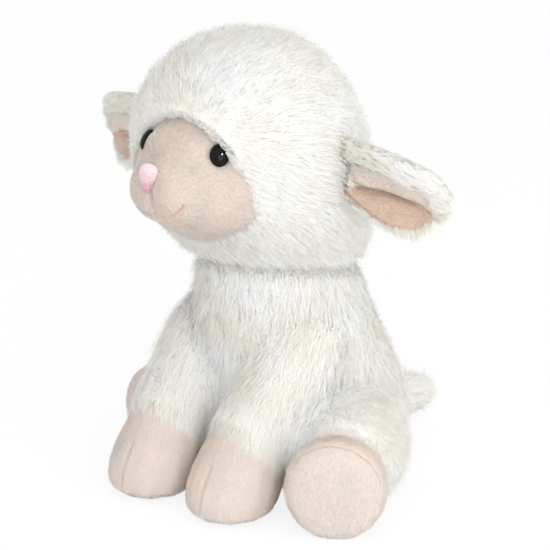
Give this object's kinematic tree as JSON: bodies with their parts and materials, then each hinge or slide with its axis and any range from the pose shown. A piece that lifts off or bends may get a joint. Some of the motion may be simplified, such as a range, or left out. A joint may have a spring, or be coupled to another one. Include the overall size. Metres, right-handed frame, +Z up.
{
  "type": "sitting plush lamb",
  "caption": "Sitting plush lamb with long white fur, a velour face, feet and ear linings, domed black eyes and a stitched nose, whose head, ears, legs and tail turn on their seams.",
  "frame": {"origin": "on the floor under the neck's centre, on the flat underside of the seat", "axes": "+Z up, -Y the way the lamb faces, +X its left side"},
  "size_m": [0.1942, 0.1888, 0.2004],
  "materials": {
    "fur": "long-pile plush",
    "velour": "short-nap velour",
    "sole": "short-nap velour",
    "ear_lining": "short-nap velour",
    "nose_thread": "satin stitch",
    "mouth_thread": "stitched thread",
    "eye": "gloss",
    "washer": "matte",
    "fibre": "loose fibre",
    "cotton": "plain weave"
  },
  "bodies": {
    "torso": {"torso_fur": "fur", "torso_stuffing": "fibre", "pellet_bag": "cotton"},
    "head": {"head_fur": "fur", "head_stuffing": "fibre", "face": "velour", "nose": "nose_thread", "mouth_stitch": "mouth_thread", "eye_left": "eye", "eye_right": "eye", "eye_washer_left": "washer", "eye_washer_right": "washer"},
    "tail": {"tail": "fur"},
    "ear_left": {"ear_fur_left": "fur", "ear_lining_left": "ear_lining"},
    "front_leg_left": {"front_leg_fur_left": "fur", "front_foot_left": "velour", "front_sole_left": "sole", "front_leg_stuffing_left": "fibre"},
    "hind_leg_left": {"hind_leg_fur_left": "fur", "hind_foot_left": "velour", "hind_sole_left": "sole", "hind_leg_stuffing_left": "fibre"},
    "ear_right": {"ear_fur_right": "fur", "ear_lining_right": "ear_lining"},
    "front_leg_right": {"front_leg_fur_right": "fur", "front_foot_right": "velour", "front_sole_right": "sole", "front_leg_stuffing_right": "fibre"},
    "hind_leg_right": {"hind_leg_fur_right": "fur", "hind_foot_right": "velour", "hind_sole_right": "sole", "hind_leg_stuffing_right": "fibre"}
  },
  "joints": [
    {"name": "neck_turn", "type": "hinge", "parent": "torso", "child": "head", "pos_m": [0, 0, 0.1], "axis": [0, 0.1392, 0.9903], "range_deg": [-25, 25], "stiffness_Nm_per_rad": 0.3},
    {"name": "tail_lift", "type": "hinge", "parent": "torso", "child": "tail", "pos_m": [0, 0.0595, 0.0213], "axis": [1, 0, 0], "range_deg": [0, 40], "stiffness_Nm_per_rad": 0.05},
    {"name": "ear_left_lift", "type": "hinge", "parent": "head", "child": "ear_left", "pos_m": [0.05025, -0.012, 0.162], "axis": [0, -1, 0], "range_deg": [0, 50], "stiffness_Nm_per_rad": 0.05},
    {"name": "front_leg_left_lift", "type": "hinge", "parent": "torso", "child": "front_leg_left", "pos_m": [0.027, -0.01, 0.0833], "axis": [-1, 0, 0], "range_deg": [0, 60], "stiffness_Nm_per_rad": 0.2},
    {"name": "hind_leg_left_spread", "type": "hinge", "parent": "torso", "child": "hind_leg_left", "pos_m": [0.02307, 0.02071, 0], "axis": [0, 0, 1], "range_deg": [0, 30], "stiffness_Nm_per_rad": 0.2},
    {"name": "ear_right_lift", "type": "hinge", "parent": "head", "child": "ear_right", "pos_m": [-0.05025, -0.012, 0.162], "axis": [0, 1, 0], "range_deg": [0, 50], "stiffness_Nm_per_rad": 0.05},
    {"name": "front_leg_right_lift", "type": "hinge", "parent": "torso", "child": "front_leg_right", "pos_m": [-0.027, -0.01, 0.0833], "axis": [-1, 0, 0], "range_deg": [0, 60], "stiffness_Nm_per_rad": 0.2},
    {"name": "hind_leg_right_spread", "type": "hinge", "parent": "torso", "child": "hind_leg_right", "pos_m": [-0.02504, 0.05689, 0], "axis": [0, 0, -1], "range_deg": [0, 30], "stiffness_Nm_per_rad": 0.2}
  ]
}
